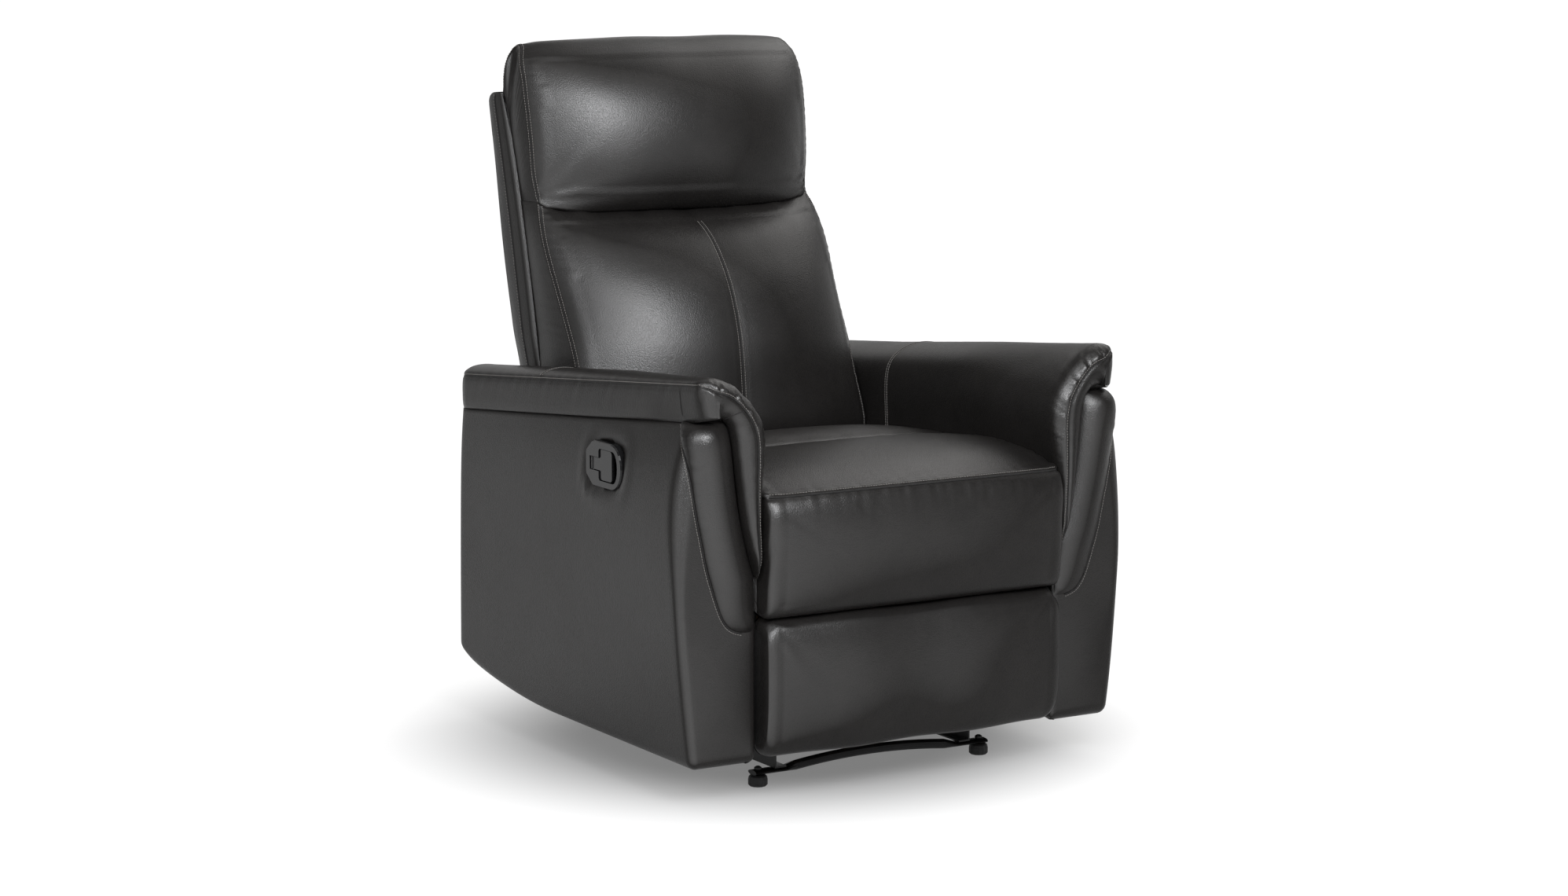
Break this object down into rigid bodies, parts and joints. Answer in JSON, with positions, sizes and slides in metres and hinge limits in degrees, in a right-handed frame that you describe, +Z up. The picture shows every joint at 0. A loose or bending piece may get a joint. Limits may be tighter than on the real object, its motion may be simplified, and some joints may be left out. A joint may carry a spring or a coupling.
{
  "type": "recliner chair",
  "caption": "Manual recliner armchair in dark leather: padded arms, side release lever, footrest that swings out on a linkage, and a back that leans as the seat tilts.",
  "frame": {"origin": "bottom centre of the chair's overall box, on the floor", "axes": "+Z up; the chair faces -Y; +X to the right of someone who stands in front and faces it"},
  "size_m": [0.804, 0.9267, 1.106],
  "materials": {
    "mechanism_steel": "black enamelled steel",
    "glide_plastic": "matt black glide",
    "frame_wood": "plain hardwood",
    "spring_wire": "drawn spring wire",
    "cover_leather": "pebbled dark espresso leather, satin",
    "handle_plastic": "gloss black moulding"
  },
  "bodies": {
    "base": {"base_rail_left": "mechanism_steel", "base_rail_right": "mechanism_steel", "front_cross_tube": "mechanism_steel", "rear_cross_tube": "mechanism_steel", "foot_front_left": "glide_plastic", "foot_front_right": "glide_plastic", "foot_rear_left": "glide_plastic", "foot_rear_right": "glide_plastic", "base_bracket_left": "mechanism_steel", "base_bracket_right": "mechanism_steel", "front_upright_left": "mechanism_steel", "front_upright_right": "mechanism_steel"},
    "chassis": {"side_plate_left": "mechanism_steel", "side_plate_right": "mechanism_steel", "seat_rail_front": "frame_wood", "seat_rail_rear": "frame_wood", "seat_rail_left": "frame_wood", "seat_rail_right": "frame_wood", "arm_cleat_left": "frame_wood", "arm_cleat_right": "frame_wood", "seat_spring_1": "spring_wire", "seat_spring_2": "spring_wire", "seat_spring_3": "spring_wire", "seat_spring_4": "spring_wire", "seat_cushion": "cover_leather", "arm_body_left": "cover_leather", "arm_body_right": "cover_leather", "arm_panel_left": "cover_leather", "arm_panel_right": "cover_leather", "arm_pad_left": "cover_leather", "arm_pad_right": "cover_leather", "lever_bezel": "handle_plastic", "lever_pin": "spring_wire", "release_cable": "handle_plastic"},
    "back": {"back_shell": "cover_leather", "back_post_left": "frame_wood", "back_post_right": "frame_wood", "back_rail_upper": "frame_wood", "back_rail_lower": "frame_wood", "back_bracket_left": "mechanism_steel", "back_bracket_right": "mechanism_steel", "lumbar_cushion": "cover_leather", "headrest_cushion": "cover_leather"},
    "drive_links": {"torque_tube": "mechanism_steel", "drive_link_left": "mechanism_steel", "drive_link_right": "mechanism_steel"},
    "front_control_links": {"front_control_link_left": "mechanism_steel", "front_control_link_right": "mechanism_steel"},
    "main_links": {"main_link_left": "mechanism_steel", "main_link_right": "mechanism_steel"},
    "upper_control_links": {"upper_control_link_left": "mechanism_steel", "upper_control_link_right": "mechanism_steel"},
    "footrest": {"footrest_board": "frame_wood", "footrest_pad": "cover_leather", "footrest_bracket_left": "mechanism_steel", "footrest_bracket_right": "mechanism_steel"},
    "lever": {"release_lever": "handle_plastic"}
  },
  "joints": [
    {"name": "chassis_tilt", "type": "hinge", "parent": "base", "child": "chassis", "pos_m": [0, 0.1, 0.12], "axis": [-1, 0, 0], "range_deg": [0, 5.6]},
    {"name": "back_recline", "type": "hinge", "parent": "chassis", "child": "back", "pos_m": [0, 0.16, 0.4], "axis": [-1, 0, 0], "range_deg": [0, 28]},
    {"name": "footrest_extend", "type": "hinge", "parent": "chassis", "child": "drive_links", "pos_m": [0, -0.285, 0.264], "axis": [-1, 0, 0], "range_deg": [0, 110]},
    {"name": "front_control", "type": "hinge", "parent": "chassis", "child": "front_control_links", "pos_m": [0, -0.33381, 0.27482], "axis": [-1, 0, 0], "range_deg": [0, 110]},
    {"name": "main_fold", "type": "hinge", "parent": "drive_links", "child": "main_links", "pos_m": [0, -0.1359, 0.10128], "axis": [-1, 0, 0], "range_deg": [-110, 0]},
    {"name": "upper_fold", "type": "hinge", "parent": "drive_links", "child": "upper_control_links", "pos_m": [0, -0.11033, 0.11845], "axis": [-1, 0, 0], "range_deg": [-112.46, 0]},
    {"name": "footrest_turn", "type": "hinge", "parent": "main_links", "child": "footrest", "pos_m": [0, -0.353, 0.26], "axis": [-1, 0, 0], "range_deg": [0, 88]},
    {"name": "release_lever_pull", "type": "hinge", "parent": "chassis", "child": "lever", "pos_m": [-0.386, -0.1249, 0.4895], "axis": [0, 0, -1], "range_deg": [0, 35], "stiffness_Nm_per_rad": 0.4, "springref_deg": -5.73}
  ],
  "couplings": [
    {"joint": "chassis_tilt", "follows": "back_recline", "ratio": 0.2},
    {"joint": "front_control", "follows": "footrest_extend", "ratio": 1},
    {"joint": "main_fold", "follows": "footrest_extend", "ratio": -1},
    {"joint": "upper_fold", "follows": "footrest_extend", "ratio": -1.0223},
    {"joint": "footrest_turn", "follows": "footrest_extend", "ratio": 0.8}
  ]
}
